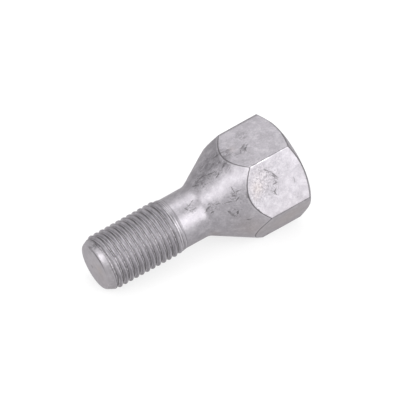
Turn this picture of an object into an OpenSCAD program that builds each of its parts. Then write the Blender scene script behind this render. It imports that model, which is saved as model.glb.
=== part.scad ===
// Wheel bolt: a hexagon head that runs down to the shank in one seat cone, forged in one piece.
// Sizes are in millimetres. The bolt is drawn standing on its tip, along +Z, then laid down.
// It lies as it comes to rest on a level surface: on the thread near the tip, and on the
// middle of one flat, where the seat cone runs into it. The head points along +X.

/* [Thread] */
// Outside diameter over the thread, an M14 thread a little under its nominal size
thread_d = 13.85; // [13:0.05:15]
// Length from the tip to the last full turn of the thread
thread_len = 19; // [8:0.5:22]
// Length over which the thread fades out into the plain shank
runout_len = 2.3; // [1:0.1:4]

/* [Tip] */
// Diameter of the tip face, measured before its edge is rounded
tip_d = 11.45; // [9:0.05:12]
// Length of the lead-in chamfer
chamfer_len = 2.55; // [1.5:0.05:4]
// Radius of the rounded edge round the tip face
tip_round = 0.7; // [0.2:0.05:1]

/* [Shank and cone] */
// Diameter of the plain shank
shank_d = 12.85; // [11.5:0.05:12.9]
// Length from the tip to the place where the lines of the shank and the cone cross
shank_len = 27.95; // [27.5:0.05:60]
// Full angle of the seat cone
cone_angle = 60; // [50:1:90]
// Radius of the fillet between the shank and the cone
fillet_r = 3.4; // [1:0.1:4]

/* [Hexagon head] */
// Width across the flats
hex_af = 23.5; // [21:0.1:24.5]
// Height of the head, from the end of the shank to the top face
head_len = 24.45; // [20:0.05:30]
// Diameter of the flat top face, inside the chamfer round it
top_d = 22.2; // [18:0.1:22.5]
// Slope of that chamfer, measured from the top face
top_angle = 35; // [20:1:45]

/* [Hidden] */
$fn = 96;

thread_r = thread_d / 2;
tip_r = tip_d / 2;
shank_r = shank_d / 2;
top_r = top_d / 2;
half_af = hex_af / 2;
corner_r = half_af / cos(30);
half_cone = cone_angle / 2;
bolt_len = shank_len + head_len;

// The radius that the cone would reach if nothing trimmed it, well outside the corners
outer_r = corner_r * 1.1;
outer_z = shank_len + (outer_r - shank_r) / tan(half_cone);
rim_z = bolt_len - (outer_r - top_r) * tan(top_angle);

// Lead-in chamfer: its angle to the axis, and the centre of the rounding at its foot
chamfer_angle = atan((thread_r - tip_r) / chamfer_len);
tip_tangent = tip_round * tan((90 - chamfer_angle) / 2);
tip_centre_r = tip_r - tip_tangent;

// Fillet between shank and cone: how far each tangent point lies from the corner
fillet_tangent = fillet_r * tan(half_cone / 2);

// At rest: the flat touches down where the cone meets its middle line
foot_z = shank_len + (half_af - shank_r) / tan(half_cone);
rest_tilt = atan((half_af - thread_r) / (foot_z - chamfer_len));
rest_lift = thread_r * cos(rest_tilt) - chamfer_len * sin(rest_tilt);
lowest_x = tip_round * cos(rest_tilt) - tip_centre_r * sin(rest_tilt) - tip_round;
highest_x = bolt_len * cos(rest_tilt) + top_r * sin(rest_tilt);

// Half outline of the bolt, with square corners: x is the radius, y is the height over the tip
module square_outline() {
  polygon([
    [0, 0],
    [tip_r, 0],
    [thread_r, chamfer_len],
    [thread_r, thread_len],
    [shank_r, thread_len + runout_len],
    [shank_r, shank_len],
    [outer_r, outer_z],
    [outer_r, rim_z],
    [top_r, bolt_len],
    [0, bolt_len]
  ]);
}

// What the rounding takes off the edge of the tip face
module tip_corner() {
  difference() {
    polygon([
      [tip_centre_r, -tip_round],
      [tip_r + tip_round, -tip_round],
      [tip_r + tip_tangent * sin(chamfer_angle), tip_tangent * cos(chamfer_angle)],
      [tip_centre_r, tip_round]
    ]);
    translate([tip_centre_r, tip_round]) circle(r = tip_round);
  }
}

// What the fillet adds in the hollow between the shank and the cone
module neck_fillet() {
  difference() {
    polygon([
      [shank_r, shank_len - fillet_tangent],
      [shank_r + fillet_tangent * sin(half_cone), shank_len + fillet_tangent * cos(half_cone)],
      [shank_r - fillet_r / 2, shank_len]
    ]);
    translate([shank_r + fillet_r, shank_len - fillet_tangent]) circle(r = fillet_r);
  }
}

module half_outline() {
  difference() {
    union() {
      square_outline();
      neck_fillet();
    }
    tip_corner();
  }
}

// The turned shape, trimmed by the six flats. Both cones end in curved lines on the flats.
// The outline starts its turn on the upper side, away from where the bolt touches down.
module standing_bolt() {
  intersection() {
    rotate([0, 0, 180]) rotate_extrude() half_outline();
    translate([0, 0, -1]) rotate([0, 0, 30]) cylinder(r = corner_r, h = bolt_len + 2, $fn = 6);
  }
}

module wheel_bolt() {
  color([0.66, 0.65, 0.67])
    translate([-(lowest_x + highest_x) / 2, 0, rest_lift])
      rotate([0, 90 - rest_tilt, 0])
        standing_bolt();
}

wheel_bolt();
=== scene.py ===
"""Wheel bolt, forged in one piece and zinc coated, lying on a pale floor in soft light."""

import math

import bpy
import numpy as np
from mathutils import Matrix, Vector


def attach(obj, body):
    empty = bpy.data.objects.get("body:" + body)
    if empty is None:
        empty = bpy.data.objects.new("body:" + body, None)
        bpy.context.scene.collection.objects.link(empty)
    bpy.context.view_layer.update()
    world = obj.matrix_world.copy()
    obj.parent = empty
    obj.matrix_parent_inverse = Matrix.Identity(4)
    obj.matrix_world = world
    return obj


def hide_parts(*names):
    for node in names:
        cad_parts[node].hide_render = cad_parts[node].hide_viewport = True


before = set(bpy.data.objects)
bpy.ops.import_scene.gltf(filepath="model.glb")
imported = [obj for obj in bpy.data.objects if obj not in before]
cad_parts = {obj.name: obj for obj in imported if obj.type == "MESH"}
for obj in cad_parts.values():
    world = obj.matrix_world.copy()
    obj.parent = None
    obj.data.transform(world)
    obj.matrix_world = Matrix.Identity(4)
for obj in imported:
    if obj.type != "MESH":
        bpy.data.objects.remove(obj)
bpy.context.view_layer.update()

MM = 0.001

# Driving sizes of the bolt in millimetres, the same as in the part's source
THREAD_D = 13.85
THREAD_LEN = 19.0
RUNOUT_LEN = 2.3
TIP_D = 11.45
CHAMFER_LEN = 2.55
TIP_ROUND = 0.7
SHANK_D = 12.85
SHANK_LEN = 27.95
CONE_ANGLE = math.radians(60.0)
FILLET_R = 3.4
HEX_AF = 23.5
HEAD_LEN = 24.45
TOP_D = 22.2
TOP_ANGLE = math.radians(35.0)

# The thread, which the part's source leaves plain: a right-hand metric thread of fine pitch. Its
# first crest at angle 0 lies CREST_START over the tip, and its flanks drop by FLANK_SLOPE for each
# millimetre along the bolt
PITCH = 1.5
CREST_START = 0.49
THREAD_DEPTH = 0.64
CREST_FLAT = 0.16
FLANK_SLOPE = 1.42
SEAM_WIDTH = 0.1
SEAM_DEPTH = 0.03

# How wide the soft crossings are at the crest, in the root and where the chamfer meets the thread
CREST_ROUND = 0.08
ROOT_ROUND = 0.25
LEAD_IN_ROUND = 0.1

# Heights over the tip between which the thread grows in, and between which it dies out
LEAD_IN = (0.8, 1.8)
RUN_OUT = (THREAD_LEN - 0.6, THREAD_LEN + 1.7)

# How far the coated edges are rounded, and the depth of the fine line where cone and flats meet
HEX_EDGE_ROUND = 0.28
ARC_EDGE_ROUND = 0.14
RIM_ROUND = 0.35
ARC_LINE_DEPTH = 0.035

# Rows of points along the bolt, and points across one flat
THREAD_ROWS = 286
SHANK_ROWS = 18
FILLET_ROWS = 9
CONE_ROWS = 45
FLAT_ROWS = 56
RIM_ROWS = 6
FLAT_COLUMNS = 27

# Marks in the coat: height over the tip in millimetres, angle round the bolt in degrees, width in
# millimetres and strength
STAINS = [
    (36.6, 176, 1.8, 1.0), (34.8, 171, 2.0, 0.8), (32.6, 173, 1.6, 0.8), (31.0, 178, 1.3, 0.7),
    (29.8, 177, 1.2, 0.7), (36.4, 191, 1.3, 0.9), (38.9, 176, 1.2, 0.9), (44.2, 166, 1.5, 0.9),
    (37.6, 170, 1.2, 0.7), (35.0, 156, 3.2, 0.35), (31.0, 159, 2.4, 0.35), (40.2, 186, 0.8, 0.4),
    (42.4, 183, 1.1, 0.65), (41.2, 186, 0.9, 0.4), (29.4, 226, 1.1, 0.5), (35.2, 232, 1.2, 0.45),
    (25.0, 212, 1.0, 0.5), (48.3, 264, 1.8, 0.35), (33.0, 250, 1.2, 0.3), (1.2, 179, 1.1, 0.8),
    (37.6, 183, 1.5, 0.5), (1.9, 196, 1.0, 0.45), (2.6, 188, 1.2, 0.5),
]
SCUFFS = [
    (33.5, 179, 3.0, 0.9), (30.2, 182, 2.0, 0.8), (34.0, 228, 2.0, 0.9), (29.6, 226, 1.6, 0.8),
    (25.0, 212, 1.6, 0.9), (44.3, 230, 2.4, 0.9), (43.2, 246, 1.8, 0.7), (33.4, 249, 1.6, 0.7),
    (42.4, 183, 1.8, 0.5), (36.4, 196, 1.6, 0.4), (35.2, 268, 2.2, 0.4), (0.9, 190, 1.6, 0.7),
]
GRAINY = [
    (40.4, 233, 2.8, 0.9), (42.0, 220, 2.2, 0.8), (38.6, 244, 2.0, 0.6), (47.6, 216, 2.0, 0.4),
]
# Warm patches; the broad ones on the lower side of the head and cone are painted warm reflection
BROWN_AND_WARM_REFLECTION = [
    (39.8, 233, 1.4, 0.6), (41.5, 224, 2.2, 0.18), (46.0, 300, 5.0, 0.5), (36.0, 285, 4.0, 0.35),
    (38.6, 242, 0.7, 0.3), (40.0, 176, 0.9, 0.3), (28.6, 300, 1.6, 0.3),
]

# Pits: height, angle and width as above, and depth in millimetres
PITS = [
    (33.8, 228, 0.45, 0.05), (35.2, 227, 0.4, 0.05), (29.4, 226, 0.5, 0.05), (25.3, 214, 0.5, 0.04),
    (24.0, 210, 0.45, 0.04), (32.9, 250, 0.4, 0.04), (34.0, 248, 0.4, 0.04), (44.5, 228, 0.5, 0.05),
    (44.2, 238, 0.5, 0.05), (43.0, 248, 0.45, 0.05), (42.4, 183, 0.6, 0.05), (31.8, 182, 0.6, 0.05),
    (1.6, 178, 0.5, 0.12), (0.5, 183, 0.45, 0.1), (1.0, 171, 0.5, 0.1), (37.0, 176, 0.5, 0.04),
]

# The side that the photograph doesn't show, in degrees, with the marks strewn over it
HIDDEN_SIDE = (320.0, 495.0)
HIDDEN_SIDE_MARKS = 26
HIDDEN_SIDE_SCRATCHES = 12

# Scratches: height and angle of one end, the same of the other end, half width in millimetres
SCRATCHES = [
    (44.6, 225, 45.3, 233, 0.16), (44.0, 226, 45.4, 237, 0.12), (43.2, 219, 43.9, 222, 0.14),
    (43.9, 238, 44.7, 238, 0.18), (44.0, 244, 43.2, 247, 0.14), (43.2, 247, 43.5, 250, 0.13),
    (42.4, 235, 42.4, 238, 0.1), (49.0, 242, 48.8, 248, 0.05), (42.0, 181, 43.2, 179, 0.2),
    (43.2, 183, 42.2, 187, 0.14), (34.0, 228, 34.8, 228, 0.17), (34.5, 235, 35.2, 233, 0.16),
    (33.6, 255, 34.1, 250, 0.15), (32.5, 248, 32.4, 252, 0.13), (32.9, 253, 32.9, 258, 0.13),
    (37.0, 232, 36.9, 238, 0.18), (38.0, 256, 38.2, 259, 0.16), (35.3, 266, 36.0, 266, 0.15),
    (29.6, 170, 31.0, 174, 0.2), (30.6, 171, 31.9, 176, 0.18), (32.4, 180, 33.8, 185, 0.17),
    (28.6, 171, 29.5, 177, 0.14), (35.7, 169, 37.8, 173, 0.2), (35.6, 189, 37.1, 188, 0.2),
    (33.5, 194, 34.4, 191, 0.17), (34.8, 217, 34.8, 223, 0.1), (35.1, 225, 36.0, 225, 0.15),
    (32.3, 233, 33.5, 234, 0.13), (30.4, 229, 31.1, 230, 0.14), (27.8, 233, 29.1, 227, 0.15),
    (28.7, 239, 29.4, 239, 0.13), (23.8, 206, 24.3, 212, 0.15), (25.2, 216, 26.2, 216, 0.16),
    (25.8, 201, 26.7, 198, 0.1), (24.7, 205, 25.4, 205, 0.12), (32.1, 246, 32.4, 250, 0.12),
    (0.2, 165, 0.2, 176, 0.2), (0.9, 170, 1.1, 180, 0.22), (0.6, 182, 1.5, 179, 0.16),
]

# How near a scratch takes in a point, how far past its ends points are measured, and the distance
# that stands for none, in millimetres
SCRATCH_REACH = 0.85
SCRATCH_ROOM = 1.5
FAR_OFF = 99.0

# Marks on the tip face of the standing bolt: x, y and width in millimetres, and strength
FACE_STAINS = [
    (1.76, -5.1, 0.6, 0.5), (2.05, -1.9, 0.6, 0.35), (0.6, 1.1, 0.9, 0.25), (-3.6, 2.8, 1.2, 0.3),
]
# Warm patches on the tip face; the broad one is painted warm reflection
FACE_BROWN_AND_WARM_REFLECTION = [(-1.1, -2.2, 1.0, 0.6), (0.5, -2.0, 4.0, 0.35)]

# The faint ring on the tip face: its middle on the standing bolt, and its radius
DIMPLE = (1.03, 1.47, 0.0)
DIMPLE_R = 0.3

# The corner that is worn bright and takes a painted highlight, over how many degrees its share falls,
# and what the others have
RUBBED_AND_HIGHLIT_CORNER = 210.0
HIGHLIGHT_REACH = 20.0
OTHER_CORNERS = 0.16

# The side turned up and away, drawn darker there as painted shade, and dark patches on the thread:
# height and its reach in millimetres, angle and its reach in degrees, strength
SHADED_SIDE = 150.0
SHADED_REACH = 23.0
DARK_PATCHES = [
    (1.95, 0.55, 206.0, 30.0, 0.75),
    (17.0, 4.0, 212.0, 16.0, 0.5),
    (19.9, 0.9, 186.0, 26.0, 0.6),
]

# The thread's lit side and its low turns with painted shade, in degrees: a rise between two angles and a
# fall
LIT_SIDE_RISE = (165.0, 206.0)
LIT_SIDE_FALL = (258.0, 298.0)
LOW_TURN_SHADE_RISE = (245.0, 268.0)
LOW_TURN_SHADE_FALL = (268.0, 288.0)

# Dark lines and painted highlights, each with its middle and its width. In millimetres over the
# upper curved edge, over the lower one and over the tip face
RIM_LINE = (0.15, 0.27)
ARC_LINE = (-0.12, 0.13)
ARC_HIGHLIGHT = (-0.45, 0.15)
TIP_LINE = (0.06, 0.1)
TIP_HIGHLIGHT = (0.55, 0.5)

# In degrees past each corner
CORNER_LINE = (-0.45, 0.35)
CORNER_RUB_AND_HIGHLIGHT = (0.45, 0.3)

# In degrees round the bolt
OUTLINE_SHADE = (150.8, 0.8)
TIP_LINE_SIDE = (205.0, 40.0)
TIP_HIGHLIGHT_SIDE = (208.0, 45.0)
LIT_TURNS = (233.0, 14.0)

# Faint rings where the thread runs out: height and strength
END_LINES = [(19.7, 0.3), (20.25, 0.5), (20.75, 0.35), (21.25, 0.5)]
END_LINE_WIDTH = 0.13

# Sizes that follow from those above
thread_r = THREAD_D / 2
tip_r = TIP_D / 2
shank_r = SHANK_D / 2
top_r = TOP_D / 2
half_af = HEX_AF / 2
half_cone = CONE_ANGLE / 2
bolt_len = SHANK_LEN + HEAD_LEN
chamfer_angle = math.atan((thread_r - tip_r) / CHAMFER_LEN)
tip_centre_r = tip_r - TIP_ROUND * math.tan((math.pi / 2 - chamfer_angle) / 2)
fillet_tangent = FILLET_R * math.tan(half_cone / 2)
fillet_start = SHANK_LEN - fillet_tangent
fillet_end = SHANK_LEN + fillet_tangent * math.cos(half_cone)
foot_z = SHANK_LEN + (half_af - shank_r) / math.tan(half_cone)
rest_tilt = math.atan((half_af - thread_r) / (foot_z - CHAMFER_LEN))
rest_lift = thread_r * math.cos(rest_tilt) - CHAMFER_LEN * math.sin(rest_tilt)
lowest_x = TIP_ROUND * math.cos(rest_tilt) - tip_centre_r * math.sin(rest_tilt) - TIP_ROUND
highest_x = bolt_len * math.cos(rest_tilt) + top_r * math.sin(rest_tilt)


def smooth_min(a, b, width):
    """The lesser of a and b, with the crossing rounded where they differ by less than width."""
    share = np.clip(0.5 + 0.5 * (b - a) / width, 0.0, 1.0)
    return b + (a - b) * share - width * share * (1.0 - share)


def ease(low, high, x):
    """Rises from 0 at low to 1 at high along the cubic 3t^2 - 2t^3."""
    t = np.clip((x - low) / (high - low), 0.0, 1.0)
    return t * t * (3.0 - 2.0 * t)


def bell(x, middle, width):
    """A soft bump that is 1 at its middle: exp(-((x - middle) / width)^2)."""
    return np.exp(-((x - middle) / width) ** 2)


def between(x, rise, fall):
    """Rises from 0 to 1 over one pair of limits, and falls back over another: a rise times 1 less a rise."""
    return ease(*rise, x) * (1.0 - ease(*fall, x))


def uneven(points, grain, seed, waves=28):
    """Unevenness from 0 to 1: a sum of sine waves, about grain mm long, in seeded directions."""
    rng = np.random.default_rng(seed)
    heading = rng.normal(size=(waves, 3))
    heading /= np.linalg.norm(heading, axis=1, keepdims=True)
    length = grain * rng.uniform(0.7, 1.7, (waves, 1))
    phase = rng.uniform(0.0, 2.0 * math.pi, waves)
    total = np.sin(points @ (2.0 * math.pi * heading / length).T + phase).sum(axis=-1)
    return 0.5 + 0.5 * np.tanh(total / math.sqrt(waves / 2.0))


def angles_round_bolt():
    """Angles of the columns: even over each flat, and closer together at the six corners."""
    corner_steps = np.radians([-0.75, -0.45, -0.2, 0.0, 0.2, 0.45, 0.75])
    clear = math.radians(1.2)
    flat_steps = np.linspace(clear, math.radians(60.0) - clear, FLAT_COLUMNS)
    one_side = np.concatenate([corner_steps, flat_steps])
    return np.concatenate([one_side + math.radians(60.0 * side + 30.0) for side in range(6)])


def hexagon_radius(angle):
    """Distance from the axis to the hexagon, with its corners rounded off between two flats."""
    off = np.abs((angle + math.pi / 6) % (math.pi / 3) - math.pi / 6)
    own_flat = half_af / np.cos(off)
    next_flat = half_af / np.cos(math.pi / 3 - off)
    return smooth_min(own_flat, next_flat, HEX_EDGE_ROUND)


def thread_turns(height, angle):
    """Turns of the thread from its first crest: a whole number on every crest."""
    return (height - CREST_START) / PITCH - angle / (2.0 * math.pi)


def off_crest(height, angle):
    """Distance along the axis to the middle of the nearest crest."""
    turns = thread_turns(height, angle)
    return np.abs(turns - np.round(turns)) * PITCH


def crest_seam(height, angle):
    """The fine seam that thread rolling leaves along each crest: a bell over the distance to it."""
    return bell(off_crest(height, angle), 0.0, SEAM_WIDTH)


def thread_groove(height, angle):
    """Depth of the thread below its crest: straight flanks down to a rounded root."""
    flank = (off_crest(height, angle) - CREST_FLAT / 2) * FLANK_SLOPE
    depth = -smooth_min(-flank, np.zeros_like(flank), CREST_ROUND)
    return smooth_min(depth, np.full_like(depth, THREAD_DEPTH), ROOT_ROUND)


def groove_share(height):
    """Share of the full groove depth: it grows in on the chamfer and dies out at the shank."""
    return between(height, LEAD_IN, RUN_OUT)


def turned_radius(height, angle):
    """Radius before the hexagon is cut: chamfer, thread, shank, fillet and seat cone."""
    barrel = thread_r + (shank_r - thread_r) * np.clip((height - THREAD_LEN) / RUNOUT_LEN, 0.0, 1.0)
    chamfer = tip_r + height * math.tan(chamfer_angle)
    cut = thread_groove(height, angle) + SEAM_DEPTH * crest_seam(height, angle)
    threaded = barrel - cut * groove_share(height)
    radius = smooth_min(chamfer, threaded, LEAD_IN_ROUND)
    in_fillet = np.clip(height - fillet_start, 0.0, fillet_end - fillet_start)
    radius = radius + FILLET_R - np.sqrt(FILLET_R ** 2 - in_fillet ** 2)
    return radius + np.clip(height - fillet_end, 0.0, None) * math.tan(half_cone)


def outer_radius(height, angle):
    """Radius of the finished bolt between the tip face and the top face."""
    top_cone = top_r + (bolt_len - height) / math.tan(TOP_ANGLE)
    sides = smooth_min(turned_radius(height, angle), hexagon_radius(angle), ARC_EDGE_ROUND)
    return smooth_min(sides, top_cone, ARC_EDGE_ROUND)


def off_corner(angle):
    """Degrees past the nearest corner of the hexagon, negative before it."""
    degrees = np.degrees(angle)
    return degrees % 60.0 - 30.0


def edge_share(angle, offset, width):
    """A soft line along each corner: a bell over the degrees past it, with its middle at offset."""
    return bell(off_corner(angle), offset, width)


def rub_and_highlight_share(angle):
    """1 at the worn corner that takes a painted highlight, and a sixth at the others."""
    apart = (np.degrees(angle) - RUBBED_AND_HIGHLIT_CORNER + 180.0) % 360.0 - 180.0
    return OTHER_CORNERS + (1.0 - OTHER_CORNERS) * bell(apart, 0.0, HIGHLIGHT_REACH)


def arc_heights(angle):
    """Heights of the two curved edges of the flats: where either cone is as wide as the hexagon."""
    corner = hexagon_radius(angle)
    low_arc = SHANK_LEN + (corner - shank_r) / math.tan(half_cone)
    high_arc = bolt_len - (corner - top_r) * math.tan(TOP_ANGLE)
    return low_arc, high_arc


def side_heights(angle):
    """Rows of heights, one column for each angle. Past the cone they follow the curved edges."""
    low_arc, high_arc = arc_heights(angle)
    start = TIP_ROUND * (1.0 - math.sin(chamfer_angle))
    thread_end = THREAD_LEN + RUNOUT_LEN + 0.3
    straight = np.concatenate([
        np.linspace(start, thread_end, THREAD_ROWS),
        np.linspace(thread_end, fillet_start, SHANK_ROWS)[1:],
        np.linspace(fillet_start, fillet_end, FILLET_ROWS)[1:],
    ])
    rows = [np.broadcast_to(straight[:, None], (straight.size, angle.size))]
    edge = 0.4
    to_arc = np.linspace(0.0, 1.0, CONE_ROWS)[1:, None]
    rows.append(fillet_end + (low_arc - edge - fillet_end) * to_arc)
    rows.append(low_arc + np.array([-0.26, -0.16, -0.08, 0.0, 0.08, 0.16, 0.26])[:, None])
    up_flat = np.linspace(0.0, 1.0, FLAT_ROWS)[:, None]
    rows.append(low_arc + edge + (high_arc - low_arc - 2 * edge) * up_flat)
    rows.append(high_arc + np.array([-0.26, -0.14, -0.05, 0.03, 0.1])[:, None])
    rim_z = bolt_len - RIM_ROUND * math.tan(TOP_ANGLE / 2) * math.sin(TOP_ANGLE)
    to_rim = np.linspace(0.0, 1.0, RIM_ROWS)[1:, None]
    rows.append(high_arc + 0.1 + (rim_z - high_arc - 0.1) * to_rim)
    return np.concatenate(rows)


def bolt_grid():
    """Radius and height of every point: tip face, its rounded edge, the sides, rim, top face."""
    angle = angles_round_bolt()
    around = np.ones((1, angle.size))
    face_r = tip_centre_r * np.linspace(0.08, 1.0, 12)[:-1, None]
    bend = np.linspace(-math.pi / 2, -chamfer_angle, 7)[:-1, None]
    height = side_heights(angle)
    rim_tangent = RIM_ROUND * math.tan(TOP_ANGLE / 2)
    rim_bend = np.linspace(math.pi / 2 - TOP_ANGLE, math.pi / 2, 5)[1:, None]
    top_face_r = (top_r - rim_tangent) * np.linspace(1.0, 0.05, 16)[1:, None]
    radius = np.concatenate([
        face_r * around,
        (tip_centre_r + TIP_ROUND * np.cos(bend)) * around,
        outer_radius(height, angle),
        (top_r - rim_tangent + RIM_ROUND * np.cos(rim_bend)) * around,
        top_face_r * around,
    ])
    level = np.concatenate([
        0.0 * face_r * around,
        (TIP_ROUND + TIP_ROUND * np.sin(bend)) * around,
        height,
        (bolt_len - RIM_ROUND + RIM_ROUND * np.sin(rim_bend)) * around,
        (bolt_len + 0.0 * top_face_r) * around,
    ])
    return radius, level, np.broadcast_to(angle, radius.shape)


def outward(points):
    """Unit normals of the grid: across the rows times along the columns."""
    along = np.gradient(points, axis=0)
    across = np.roll(points, -1, axis=1) - np.roll(points, 1, axis=1)
    normal = np.cross(across, along)
    return normal / np.linalg.norm(normal, axis=-1, keepdims=True)


def spread(points, marks):
    """Adds up soft round marks: each is its strength times a bell over the distance to it."""
    total = np.zeros(points.shape[:-1])
    for height, degrees, width, strength in marks:
        apart = np.linalg.norm(points - on_skin(height, degrees), axis=-1)
        total += strength * bell(apart, 0.0, width)
    return total


def on_face(points, marks):
    """Soft round marks on the tip face: each is its strength times a bell over the distance."""
    total = np.zeros(points.shape[:-1])
    for x, y, width, strength in marks:
        apart = np.linalg.norm(points - np.array([x, y, 0.0]), axis=-1)
        total += strength * bell(apart, 0.0, width)
    return total


def hidden_side(seed, width, strength):
    """Marks strewn over the side that the photograph doesn't show, from head to shank."""
    rng = np.random.default_rng(seed)
    height = rng.uniform(24.0, 50.0, HIDDEN_SIDE_MARKS)
    degrees = rng.uniform(*HIDDEN_SIDE, HIDDEN_SIDE_MARKS)
    size = width * rng.uniform(0.5, 1.2, HIDDEN_SIDE_MARKS)
    force = strength * rng.uniform(0.3, 1.0, HIDDEN_SIDE_MARKS)
    return list(zip(height, degrees, size, force))


def on_skin(height, degrees):
    """The place on the standing bolt at a height and an angle."""
    turn = math.radians(degrees)
    here = float(outer_radius(np.array(height), np.array(turn)))
    return np.array([here * math.cos(turn), here * math.sin(turn), height])


def all_scratches():
    """The scratches seen in the photograph, and seeded ones on the side that it doesn't show."""
    rng = np.random.default_rng(31)
    hidden = []
    for _ in range(HIDDEN_SIDE_SCRATCHES):
        height = rng.uniform(25.0, 49.0)
        degrees = rng.uniform(*HIDDEN_SIDE)
        end_height = height + rng.uniform(0.2, 1.6)
        end_degrees = degrees + rng.uniform(-6.0, 6.0)
        hidden.append((height, degrees, end_height, end_degrees, 0.15))
    return SCRATCHES + hidden


def scratch_places(points):
    """Where each point lies in its nearest scratch, in half lengths along it and half widths
    across it, and 1 if that scratch is within reach of the point, or else 0."""
    nearest = np.full(points.shape[:-1], FAR_OFF)
    along, across = nearest.copy(), nearest.copy()
    for height, degrees, end_height, end_degrees, half_width in all_scratches():
        start, end = on_skin(height, degrees), on_skin(end_height, end_degrees)
        run = (end - start) / np.linalg.norm(end - start)
        half_length = np.linalg.norm(end - start) / 2 + half_width
        middle = (start + end) / 2
        side = np.cross(run, [middle[0], middle[1], 0.0])
        side /= np.linalg.norm(side)
        u = (points - middle) @ run
        v = (points - middle) @ side
        apart = np.hypot(np.clip(np.abs(u) - half_length, 0.0, None), v)
        apart[np.linalg.norm(points - middle, axis=-1) > half_length + SCRATCH_ROOM] = FAR_OFF
        closer = apart < nearest
        nearest[closer] = apart[closer]
        along[closer] = u[closer] / half_length
        across[closer] = v[closer] / half_width
    return along, across, (nearest < SCRATCH_REACH).astype(float)


def laid_down(points):
    """Turns the standing bolt, head along +X, to the tilt at which it rests, in metres."""
    x, y, z = np.moveaxis(points, -1, 0)
    shift = (lowest_x + highest_x) / 2
    placed = [
        x * math.sin(rest_tilt) + z * math.cos(rest_tilt) - shift,
        y,
        z * math.sin(rest_tilt) - x * math.cos(rest_tilt) + rest_lift,
    ]
    return MM * np.stack(placed, axis=-1)


def arc_line(level, low_arc):
    """The fine line just under the lower curved edge of each flat: a bell over the height."""
    return bell(level - low_arc, *ARC_LINE)


def dark_lines(radius, level, angle, on_flats):
    """Dark lines, each a bell: at both curved edges of the flats, beside their corners, round the
    tip face on its upper side, and where the thread runs out, with painted shade along the corner
    that lies along the upper outline."""
    low_arc, high_arc = arc_heights(angle)
    degrees = np.degrees(angle) % 360.0
    rim_line = bell(level - high_arc, *RIM_LINE)
    by_tip_edge = ease(tip_centre_r - 0.35, tip_centre_r, radius)
    tip_line = bell(level, *TIP_LINE) * bell(degrees, *TIP_LINE_SIDE) * by_tip_edge
    corner_line = edge_share(angle, *CORNER_LINE) * on_flats
    # Painted shade: a dark line along the corner that lies along the upper outline
    outline_shade = bell(degrees, *OUTLINE_SHADE) * on_flats
    end_lines = sum(
        strength * bell(level, height, END_LINE_WIDTH)
        for height, strength in END_LINES
    )
    total = arc_line(level, low_arc) + 0.9 * rim_line + 0.8 * tip_line
    return total + 0.9 * corner_line + 0.7 * outline_shade + end_lines


def shade_and_dirt_share(level, degrees, low_arc):
    """Painted shade on the side turned up and away, half as strong on the cone as on the thread, and
    dark patches: each is a bell along the bolt times a bell round it."""
    on_thread = 1.0 - ease(THREAD_LEN + 1.2, THREAD_LEN + 2.4, level)
    on_cone = ease(27.0, 29.0, level) * ease(0.3, 0.8, low_arc - level)
    broad = bell(degrees, SHADED_SIDE, SHADED_REACH) * ease(0.9, 1.6, level)
    patches = sum(
        strength * bell(level, height, along) * bell(degrees, heading, around)
        for height, along, heading, around, strength in DARK_PATCHES
    )
    return broad * (on_thread + 0.5 * on_cone) + patches


def coat_marks(standing, radius, level, angle):
    """Numbers that each point keeps for the coat: how much of each mark it has, its place in its
    nearest scratch, and its place in its turn of the thread."""
    low_arc, high_arc = arc_heights(angle)
    degrees = np.degrees(angle) % 360.0
    on_flats = ease(0.1, 0.5, level - low_arc) * ease(0.0, 0.3, high_arc - level)
    cut = groove_share(level)
    # Painted highlight on the tip's edge on the side toward the lamps, and a paler tip face
    tip_highlight = bell(level, *TIP_HIGHLIGHT) * bell(degrees, *TIP_HIGHLIGHT_SIDE)
    turn = 2.0 * math.pi * thread_turns(level, angle)
    scratch_along, scratch_across, scratch_near = scratch_places(standing)
    stain = spread(standing, STAINS + hidden_side(22, 1.6, 0.7))
    brown_and_warm_reflection = spread(standing, BROWN_AND_WARM_REFLECTION + hidden_side(25, 1.2, 0.4))
    scuff = spread(standing, SCUFFS + hidden_side(23, 2.0, 0.9))
    grainy = spread(standing, GRAINY + hidden_side(24, 3.0, 0.9))
    return {
        "arc_line": dark_lines(radius, level, angle, on_flats),
        "arc_highlight": bell(level - low_arc, *ARC_HIGHLIGHT),
        "rub_and_highlight": edge_share(angle, *CORNER_RUB_AND_HIGHLIGHT) * rub_and_highlight_share(angle) * on_flats,
        "scratch_along": scratch_along,
        "scratch_across": scratch_across,
        "scratch_near": scratch_near,
        "threaded": between(level, (0.9, 1.9), (THREAD_LEN + 2.0, THREAD_LEN + 2.5)),
        "shade_and_dirt": shade_and_dirt_share(level, degrees, low_arc),
        "crest_highlight": bell(degrees, *LIT_TURNS) * cut,
        "low_turn_shade": between(degrees, LOW_TURN_SHADE_RISE, LOW_TURN_SHADE_FALL) * cut,
        "cut": cut,
        "lit_side": between(degrees, LIT_SIDE_RISE, LIT_SIDE_FALL),
        "tip_highlight": tip_highlight + 0.6 * (1.0 - ease(0.02, 0.3, level)),
        "turn_cos": np.cos(turn),
        "turn_sin": np.sin(turn),
        "stain": np.clip(stain + on_face(standing, FACE_STAINS), 0, 1),
        "brown_and_warm_reflection": np.clip(brown_and_warm_reflection + on_face(standing, FACE_BROWN_AND_WARM_REFLECTION), 0, 1),
        "scuff": np.clip(scuff, 0, 1),
        "grainy": np.clip(grainy, 0, 1),
    }


def store(mesh, name, values):
    """Keeps one number a point in the mesh, with 0 at the two end points."""
    layer = mesh.attributes.new(name, "FLOAT", "POINT")
    layer.data.foreach_set("value", np.append(values.ravel(), [0.0, 0.0]).astype(np.float32))


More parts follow.
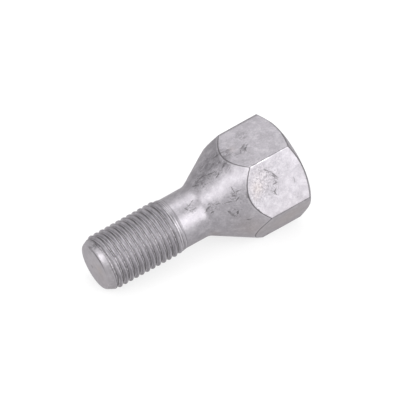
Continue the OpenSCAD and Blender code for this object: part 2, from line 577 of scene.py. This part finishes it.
def bolt_mesh():
    """The closed skin of the bolt: the grid, wrapped round, with a point at either end. It is sunk
    along its normals by shallow waves, by the pits and by the line under the curved edges."""
    radius, level, angle = bolt_grid()
    standing = np.stack([radius * np.cos(angle), radius * np.sin(angle), level], axis=-1)
    marks = coat_marks(standing, radius, level, angle)
    low_arc, _ = arc_heights(angle)
    waves = 0.04 * uneven(standing, 9.0, 11) + 0.015 * uneven(standing, 2.5, 12)
    pits = spread(standing, PITS + hidden_side(21, 0.5, 0.05))
    sunk = waves + pits + ARC_LINE_DEPTH * arc_line(level, low_arc)
    standing = standing - outward(standing) * sunk[..., None]
    rows, columns = radius.shape
    ends = np.array([[0.0, 0.0, standing[0, :, 2].mean()], [0.0, 0.0, standing[-1, :, 2].mean()]])
    points = laid_down(np.concatenate([standing.reshape(-1, 3), ends]))
    index = np.arange(rows * columns).reshape(rows, columns)
    right = np.roll(index, -1, axis=1)
    quads = np.stack([index[:-1], right[:-1], right[1:], index[1:]], axis=-1).reshape(-1, 4)
    tip, top = rows * columns, rows * columns + 1
    tip_fan = np.stack([right[0], index[0], np.full(columns, tip)], axis=-1)
    top_fan = np.stack([index[-1], right[-1], np.full(columns, top)], axis=-1)
    mesh = bpy.data.meshes.new("wheel_bolt_skin")
    mesh.from_pydata(points.tolist(), [], quads.tolist() + tip_fan.tolist() + top_fan.tolist())
    mesh.shade_smooth()
    for name, values in marks.items():
        store(mesh, name, values)
    return mesh


# Colours of the coat, all with its faint violet tint. The pale, grey and white ones also serve for
# painted highlights and painted shade
ZINC_DARK = (0.262, 0.25, 0.268, 1.0)
ZINC_LIGHT = (0.32, 0.305, 0.327, 1.0)
ZINC_PALE_AND_HIGHLIGHT = (0.5, 0.48, 0.51, 1.0)
BROWN_AND_WARM_REFLECTION_TINT = (0.36, 0.3, 0.26, 1.0)
STAIN_AND_SHADE_GREY = (0.15, 0.143, 0.156, 1.0)
LINE_AND_SHADE_GREY = (0.1, 0.095, 0.1, 1.0)
RUB_AND_HIGHLIGHT_WHITE = (0.95, 0.93, 0.95, 1.0)
EDGE_TINT = (0.8, 0.78, 0.79, 1.0)

# How fine the patterns of the coat are, in features to the metre
CLOUD = 150.0
STREAK = 420.0
MOTTLE = 650.0
SMEAR = 1000.0
WAVES = 1100.0
GRAIN = 2000.0

# Lines along the thread, some of them painted highlights and painted shade: place off the crest in
# millimetres, positive towards the head, and how far from there the line has gone and is full
RIDGE_HIGHLIGHT = (0.49, 0.18, 0.06)
SHADOW_LINE = (0.58, 0.3, 0.14)
FLANK_HIGHLIGHT = (-0.2, 0.42, 0.1)
SECOND_RIDGE_HIGHLIGHT = (0.4, 0.2, 0.06)
LOW_TURN_SHADE_BAND = (-0.12, 0.34, 0.15)
SEAM_LINE = (0.14, 0.13, 0.04)


class Nodes:
    """Short calls to add and join the nodes of one material or world."""

    def __init__(self, tree):
        self.tree = tree
        tree.nodes.clear()

    def add(self, kind, inputs=None, **settings):
        """Adds a node, sets its properties, then sets or joins its inputs."""
        node = self.tree.nodes.new(kind)
        for key, value in settings.items():
            setattr(node, key, value)
        for key, value in (inputs or {}).items():
            if isinstance(value, bpy.types.NodeSocket):
                self.tree.links.new(value, node.inputs[key])
            else:
                node.inputs[key].default_value = value
        return node

    def math(self, operation, *values, clamp=False):
        """One step of arithmetic on sockets or numbers."""
        node = self.add("ShaderNodeMath", dict(enumerate(values)), operation=operation)
        node.use_clamp = clamp
        return node.outputs[0]

    def noise(self, where, scale, detail=3.0, roughness=0.55, distortion=0.0):
        """Soft random pattern from 0 to 1, scale features to the metre."""
        inputs = {"Vector": where, "Scale": scale, "Detail": detail}
        inputs.update({"Roughness": roughness, "Distortion": distortion})
        return self.add("ShaderNodeTexNoise", inputs).outputs["Fac"]

    def vector(self, operation, *values):
        """One step of arithmetic on vectors. A distance comes out as a number."""
        node = self.add("ShaderNodeVectorMath", dict(enumerate(values)), operation=operation)
        return node.outputs["Value" if operation in ("LENGTH", "DISTANCE") else "Vector"]

    def ramp(self, value, low, high, to_low=0.0, to_high=1.0):
        """Carries a value from one range into another, held at both ends."""
        inputs = {"Value": value, "From Min": low, "From Max": high}
        inputs.update({"To Min": to_low, "To Max": to_high})
        return self.add("ShaderNodeMapRange", inputs).outputs[0]

    def mark(self, name):
        """One of the numbers that the mesh keeps for each point."""
        return self.add("ShaderNodeAttribute", attribute_name=name).outputs["Fac"]

    def blend(self, share, first, second, kind="MIX"):
        """Mixes two colours."""
        inputs = {"Factor": share, 6: first, 7: second}
        node = self.add("ShaderNodeMix", inputs, data_type="RGBA", blend_type=kind)
        return node.outputs[2]


def ground_colour(n, where, mottle, grain):
    """Mottled zinc grey with fine grain, warm patches that also paint a warm reflection on the lower
    side and on the tip face, and light and dark specks in rough spots.
    """
    cloud = n.noise(where, CLOUD, 3.0)
    colour = n.blend(n.ramp(cloud, 0.35, 0.65), ZINC_DARK, ZINC_LIGHT)
    colour = n.blend(n.ramp(mottle, 0.45, 0.66, 0.0, 0.34), colour, ZINC_PALE_AND_HIGHLIGHT)
    colour = n.blend(n.ramp(grain, 0.46, 0.3, 0.0, 0.32), colour, STAIN_AND_SHADE_GREY)
    colour = n.blend(n.ramp(grain, 0.56, 0.7, 0.0, 0.35), colour, ZINC_PALE_AND_HIGHLIGHT)
    # Warm patches, and a painted warm reflection on the lower side and the tip face
    colour = n.blend(n.math("MULTIPLY", n.mark("brown_and_warm_reflection"), 0.6), colour, BROWN_AND_WARM_REFLECTION_TINT)
    specks = n.math("MULTIPLY", n.ramp(grain, 0.54, 0.64, 0.0, 0.12), n.mark("grainy"))
    colour = n.blend(specks, colour, RUB_AND_HIGHLIGHT_WHITE)
    specks = n.math("MULTIPLY", n.ramp(grain, 0.5, 0.4, 0.06, 0.6), n.mark("grainy"))
    return n.blend(specks, colour, STAIN_AND_SHADE_GREY)


def stain_share(n, where):
    """Ragged stains: a pattern drawn out along the bolt, added to the soft round marks."""
    along = n.add("ShaderNodeMapping", {"Vector": where, "Scale": (0.35, 1.0, 1.0)}).outputs[0]
    smear = n.noise(along, SMEAR, 4.0, 0.7, 0.4)
    patches = n.math("MULTIPLY_ADD", n.math("SUBTRACT", smear, 0.52), 4.0, n.mark("stain"))
    return n.math("MULTIPLY", n.ramp(patches, 0.35, 1.3), n.ramp(n.mark("stain"), 0.03, 0.5))


def scratch_share(n, where, mottle):
    """Scratches: within about one half length and half width of the middle, with wavy edges."""
    wavy = n.add("ShaderNodeTexNoise", {"Vector": where, "Scale": WAVES, "Detail": 2.0})
    wavy = n.vector("SUBTRACT", wavy.outputs["Color"], (0.5, 0.5, 0.5))
    in_scratch = {0: n.mark("scratch_along"), 1: n.mark("scratch_across")}
    in_scratch = n.add("ShaderNodeCombineXYZ", in_scratch).outputs[0]
    in_scratch = n.vector("MULTIPLY_ADD", wavy, (1.4, 4.5, 0.0), in_scratch)
    scratch = n.ramp(n.vector("LENGTH", in_scratch), 1.35, 0.7)
    scratch = n.math("MULTIPLY", scratch, n.ramp(n.mark("scratch_near"), 0.95, 1.0))
    return n.math("MULTIPLY", scratch, n.ramp(mottle, 0.42, 0.54, 0.65, 1.0))


def scuff_share(n, where, mottle, grain):
    """Scuffs: thin broken streaks, dark specks where the coat is scuffed or stained, scratches."""
    streak = n.noise(where, STREAK, 2.0, 0.5, 1.0)
    off_streak = n.math("ABSOLUTE", n.math("SUBTRACT", streak, 0.5))
    streaks = n.math("MULTIPLY", n.ramp(off_streak, 0.035, 0.01), n.ramp(mottle, 0.48, 0.58))
    streaks = n.math("MULTIPLY", streaks, n.ramp(n.mark("scuff"), 0.0, 0.7, 0.1, 0.4))
    marred = n.math("ADD", n.mark("scuff"), n.mark("stain"))
    specks = n.math("MULTIPLY", n.ramp(grain, 0.46, 0.36, 0.0, 0.6), n.ramp(marred, 0.2, 1.0))
    scuffed = n.math("MAXIMUM", streaks, specks)
    scuffed = n.math("MAXIMUM", scuffed, scratch_share(n, where, mottle))
    return n.math("MULTIPLY", scuffed, 0.85)


def thread_ridges(n, where):
    """Fine ridges along the turns of the thread, from about -0.5 to 0.5: a pattern on the place in
    the turn, which drifts slowly across the bolt."""
    place = n.add("ShaderNodeSeparateXYZ", {0: where}).outputs
    drift = n.math("MULTIPLY", n.math("ADD", place[1], place[2]), 150.0)
    helix = {0: n.mark("turn_cos"), 1: n.mark("turn_sin"), 2: drift}
    helix = n.add("ShaderNodeCombineXYZ", helix).outputs[0]
    ridges = n.math("SUBTRACT", n.noise(helix, 1.3, 2.0, 0.55), 0.5)
    return n.math("MULTIPLY", ridges, n.mark("threaded"))


def thread_line(n, off_crest_line, line, strength=1.0):
    """One line along the thread: full at its place off the crest, and fading to either side."""
    place, gone, full = line
    apart = n.math("ABSOLUTE", n.math("SUBTRACT", off_crest_line, place))
    return n.ramp(apart, gone, full, 0.0, strength)


def thread_colour(n, colour, grain):
    """Draws the lines of the thread: painted highlights along the ridges on the lit side, a painted
    shadow line on the side away from the lamps, painted light bands on the turns facing the lamps,
    painted shade on the low turns, the dark seam, and painted shade in the root and at the foot of the
    flank."""
    turned = n.math("ARCTAN2", n.mark("turn_sin"), n.mark("turn_cos"))
    off_crest_line = n.math("MULTIPLY", turned, PITCH / (2.0 * math.pi))

    # Painted highlight along the head side of each crest, on the lit side of the thread
    bright = thread_line(n, off_crest_line, RIDGE_HIGHLIGHT)
    bright = n.math("MULTIPLY", bright, n.ramp(grain, 0.4, 0.58, 0.2, 0.9))
    bright = n.math("MULTIPLY", bright, n.math("MULTIPLY", n.mark("lit_side"), n.mark("cut")))
    colour = n.blend(bright, colour, RUB_AND_HIGHLIGHT_WHITE)

    # Painted shadow: a dark line in the turns on the side away from the lamps
    away_from_lamps = n.math("SUBTRACT", 1.0, n.mark("lit_side"))
    dark = thread_line(n, off_crest_line, SHADOW_LINE, 0.95)
    dark = n.math("MULTIPLY", n.math("MULTIPLY", dark, n.mark("cut")), away_from_lamps)
    colour = n.blend(dark, colour, LINE_AND_SHADE_GREY)

    # Painted light on the flank that faces the tip and on a second ridge, on the turns facing the lamps
    flank_highlight = thread_line(n, off_crest_line, FLANK_HIGHLIGHT, 0.45)
    faint = n.math("MAXIMUM", flank_highlight, thread_line(n, off_crest_line, SECOND_RIDGE_HIGHLIGHT))
    faint = n.math("MULTIPLY", faint, n.ramp(grain, 0.42, 0.58, 0.12, 0.4))
    colour = n.blend(n.math("MULTIPLY", faint, n.mark("crest_highlight")), colour, RUB_AND_HIGHLIGHT_WHITE)
    # Painted shade on the crests of the low turns
    low_turn_shade = n.math("MULTIPLY", thread_line(n, off_crest_line, LOW_TURN_SHADE_BAND, 0.4), n.mark("low_turn_shade"))
    colour = n.blend(low_turn_shade, colour, STAIN_AND_SHADE_GREY)

    # The dark seam along the crest, and painted shade in the root
    seam = thread_line(n, off_crest_line, SEAM_LINE)
    seam = n.math("MULTIPLY", seam, n.ramp(grain, 0.4, 0.58, 0.9, 0.55))
    root = n.ramp(n.math("ABSOLUTE", off_crest_line), 0.57, 0.67)
    root = n.math("MULTIPLY", root, n.ramp(grain, 0.4, 0.58, 1.0, 0.75))
    root = n.math("MULTIPLY", root, n.ramp(n.mark("lit_side"), 0.0, 1.0, 0.75, 1.0))
    lines = n.math("MULTIPLY", n.math("ADD", seam, root), n.mark("cut"))
    colour = n.blend(lines, colour, LINE_AND_SHADE_GREY)

    # Painted shade at the foot of the flank, next to the root, on the lit side
    foot = n.math("MULTIPLY", n.ramp(off_crest_line, -0.38, -0.5, 0.0, 0.3), n.mark("cut"))
    foot = n.math("MULTIPLY", foot, n.ramp(n.mark("lit_side"), 0.75, 1.0))
    return n.blend(foot, colour, STAIN_AND_SHADE_GREY)


def edge_colour(n, colour, mottle):
    """Adds painted shade on the side turned away with its dark patches, a painted highlight on the tip's
    edge and a paler tip face, a painted highlight under the curved edges, the dark lines at the
    edges, and the worn corners with a painted highlight on one.
    """
    # Painted shade: darker on the side turned up and away from the lamps, and in dark patches
    shade_and_dirt_mask = n.math("MULTIPLY", n.mark("shade_and_dirt"), n.ramp(mottle, 0.36, 0.6, 0.65, 0.2))
    colour = n.blend(shade_and_dirt_mask, colour, STAIN_AND_SHADE_GREY)
    # Painted highlight on the tip's edge, and the tip face drawn paler
    colour = n.blend(n.math("MULTIPLY", n.mark("tip_highlight"), 0.35), colour, ZINC_PALE_AND_HIGHLIGHT)
    # Painted highlight: a pale line on the cone just under the lower curved edge of each flat
    colour = n.blend(n.math("MULTIPLY", n.mark("arc_highlight"), 0.3), colour, ZINC_PALE_AND_HIGHLIGHT)
    colour = n.blend(n.ramp(n.mark("arc_line"), 0.12, 0.9, 0.0, 0.95), colour, LINE_AND_SHADE_GREY)
    # Worn corners, with a painted highlight along the corner at 210 degrees
    rubbed_and_highlit = n.math("MULTIPLY", n.mark("rub_and_highlight"), n.ramp(mottle, 0.46, 0.6, 0.05, 0.7))
    return n.blend(rubbed_and_highlit, colour, RUB_AND_HIGHLIGHT_WHITE)


def dimple_ring(n, where):
    """The faint ring on the tip face: full at the ring's radius, gone half a radius away."""
    from_dimple = n.vector("DISTANCE", where, laid_down(np.array(DIMPLE)).tolist())
    off_ring = n.math("ABSOLUTE", n.math("SUBTRACT", from_dimple, DIMPLE_R * MM))
    return n.ramp(off_ring, 0.5 * DIMPLE_R * MM, 0.0)


def zinc_coat():
    """Dull zinc flake coat: mottled violet grey with fine grain, stains, scuffs, worn edges and the
    fine lines of the thread, with painted highlights and painted shade. The marks also raise or sink
    it a little."""
    material = bpy.data.materials.new("zinc_flake_coat")
    material.use_nodes = True
    n = Nodes(material.node_tree)
    where = n.add("ShaderNodeTexCoord").outputs["Object"]
    mottle = n.noise(where, MOTTLE, 4.0, 0.62)
    grain = n.noise(where, GRAIN, 3.0, 0.65)
    stained = stain_share(n, where)
    scuffed = scuff_share(n, where, mottle, grain)
    ridges = thread_ridges(n, where)
    ring = dimple_ring(n, where)

    colour = ground_colour(n, where, mottle, grain)
    colour = n.blend(n.math("MULTIPLY", stained, 0.7), colour, STAIN_AND_SHADE_GREY)
    colour = n.blend(scuffed, colour, LINE_AND_SHADE_GREY)
    colour = n.blend(n.ramp(ridges, 0.01, 0.12, 0.0, 0.6), colour, ZINC_PALE_AND_HIGHLIGHT)
    colour = n.blend(n.ramp(ridges, -0.01, -0.12, 0.0, 0.5), colour, STAIN_AND_SHADE_GREY)
    colour = thread_colour(n, colour, grain)
    colour = edge_colour(n, colour, mottle)
    colour = n.blend(n.math("MULTIPLY", ring, 0.8), colour, LINE_AND_SHADE_GREY)

    roughness = n.math("ADD", n.ramp(grain, 0.3, 0.7, 0.36, 0.5), n.math("MULTIPLY", stained, 0.1))
    grit = n.math("MULTIPLY", grain, n.ramp(n.mark("grainy"), 0.0, 1.0, 0.9, 1.3))
    relief = n.math("MULTIPLY_ADD", mottle, 1.6, grit)
    relief = n.math("MULTIPLY_ADD", scuffed, -1.2, relief)
    relief = n.math("MULTIPLY_ADD", ridges, 2.5, relief)
    relief = n.math("MULTIPLY_ADD", ring, -1.0, relief)
    bump = n.add("ShaderNodeBump", {"Strength": 1.0, "Distance": 0.00002, "Height": relief})
    shader = n.add("ShaderNodeBsdfPrincipled", {
        "Base Color": colour,
        "Metallic": 0.85,
        "Specular Tint": EDGE_TINT,
        "Roughness": roughness,
        "Normal": bump.outputs[0],
    })
    n.add("ShaderNodeOutputMaterial", {"Surface": shader.outputs[0]})
    return material


# How white the floor looks by itself, and how bright the surroundings light the bolt
FLOOR_WHITE = 0.72
AMBIENT = 0.7


def seen_share(n):
    """1 for rays from the camera, a mirror or a clear piece, and 0 for rays that only carry light."""
    path = n.add("ShaderNodeLightPath")
    seen = n.math("MAXIMUM", path.outputs["Is Camera Ray"], path.outputs["Is Glossy Ray"])
    return n.math("MAXIMUM", seen, path.outputs["Is Transmission Ray"])


def white_world(ambient):
    """Even white surroundings, which light the object at the ambient level."""
    world = bpy.data.worlds.new("studio")
    world.use_nodes = True
    n = Nodes(world.node_tree)
    strength = n.ramp(seen_share(n), 0.0, 1.0, ambient, 1.0)
    light = n.add("ShaderNodeBackground", {"Color": (1.0, 1.0, 1.0, 1.0), "Strength": strength})
    n.add("ShaderNodeOutputWorld", {"Surface": light.outputs[0]})
    bpy.context.scene.world = world


def pale_floor(half_size=3.0):
    """A wide white floor at the height the bolt rests on. It keeps a faint shadow."""
    corners = [(-half_size, -half_size, 0.0), (half_size, -half_size, 0.0)]
    corners += [(half_size, half_size, 0.0), (-half_size, half_size, 0.0)]
    mesh = bpy.data.meshes.new("floor")
    mesh.from_pydata(corners, [], [(0, 1, 2, 3)])
    floor = bpy.data.objects.new("floor", mesh)
    bpy.context.scene.collection.objects.link(floor)
    material = bpy.data.materials.new("pale_floor")
    material.use_nodes = True
    n = Nodes(material.node_tree)
    lit = n.add("ShaderNodeBsdfDiffuse", {"Color": (0.97, 0.97, 0.97, 1.0)})
    white = n.add("ShaderNodeEmission", {"Color": (1.0, 1.0, 1.0, 1.0), "Strength": 1.0})
    share = n.math("MULTIPLY", seen_share(n), FLOOR_WHITE)
    mixed = n.add("ShaderNodeMixShader", {0: share, 1: lit.outputs[0], 2: white.outputs[0]})
    n.add("ShaderNodeOutputMaterial", {"Surface": mixed.outputs[0]})
    mesh.materials.append(material)


# The camera's own axes in the row frame, as the photograph shows the bolt, and its lens
VIEW_AZIMUTH = math.radians(-31.934)
VIEW_ELEVATION = math.radians(41.323)
VIEW_ROLL = math.radians(-0.873)
PICTURE_WIDTH = 0.09218
LENS = 1000.0
SENSOR = 36.0
AIM = Vector((2.975, 0.930, 12.249)) * MM

# Lit panels: heading along the camera's right, up and backward, then width, height and level
LAMP_DISTANCE = 0.7
PANELS = {
    "right_panel": ((0.62, 0.04, 0.78), 0.47, 0.57, 3.8),
    "left_panel": ((-0.50, 0.10, 0.86), 0.38, 0.48, 3.7),
    "top_panel": ((0.0, 0.93, 0.37), 0.5, 0.35, 3.1),
}


def camera_axes():
    """The camera's right, up and backward directions."""
    flat = math.cos(VIEW_ELEVATION)
    back = Vector((
        math.sin(VIEW_AZIMUTH) * flat,
        -math.cos(VIEW_AZIMUTH) * flat,
        math.sin(VIEW_ELEVATION),
    ))
    level = Vector((math.cos(VIEW_AZIMUTH), math.sin(VIEW_AZIMUTH), 0.0))
    right = Matrix.Rotation(VIEW_ROLL, 3, back) @ level
    return right, back.cross(right), back


def studio_camera():
    """A long lens at the photograph's angle, so far off that lines stay nearly parallel."""
    data = bpy.data.cameras.new("camera")
    data.lens = LENS
    data.sensor_width = SENSOR
    camera = bpy.data.objects.new("camera", data)
    bpy.context.scene.collection.objects.link(camera)
    right, up, back = camera_axes()
    distance = PICTURE_WIDTH * LENS / SENSOR
    camera.matrix_world = Matrix.Translation(AIM + back * distance) @ Matrix((
        (right.x, up.x, back.x, 0.0),
        (right.y, up.y, back.y, 0.0),
        (right.z, up.z, back.z, 0.0),
        (0.0, 0.0, 0.0, 1.0),
    ))
    data.clip_end = 20.0
    bpy.context.scene.camera = camera


def soft_light(name, shares, width, height, level):
    """A lit panel that faces the bolt from a heading, given along the camera's own directions.
    Level is how bright the panel itself looks."""
    data = bpy.data.lights.new(name, "AREA")
    data.shape = "RECTANGLE"
    data.size = width
    data.size_y = height
    data.energy = level * math.pi * width * height
    lamp = bpy.data.objects.new(name, data)
    bpy.context.scene.collection.objects.link(lamp)
    right, up, back = camera_axes()
    heading = (right * shares[0] + up * shares[1] + back * shares[2]).normalized()
    turn = heading.to_track_quat("Z", "Y").to_matrix().to_4x4()
    lamp.matrix_world = Matrix.Translation(AIM + heading * LAMP_DISTANCE) @ turn


bolt = bpy.data.objects.new("wheel_bolt_coated", bolt_mesh())
bpy.context.scene.collection.objects.link(bolt)
bolt.data.materials.append(zinc_coat())
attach(bolt, "root")
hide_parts("wheel_bolt")

pale_floor()
white_world(AMBIENT)
studio_camera()
for panel_name, panel in PANELS.items():
    soft_light(panel_name, *panel)
bpy.context.scene.view_settings.view_transform = "Standard"
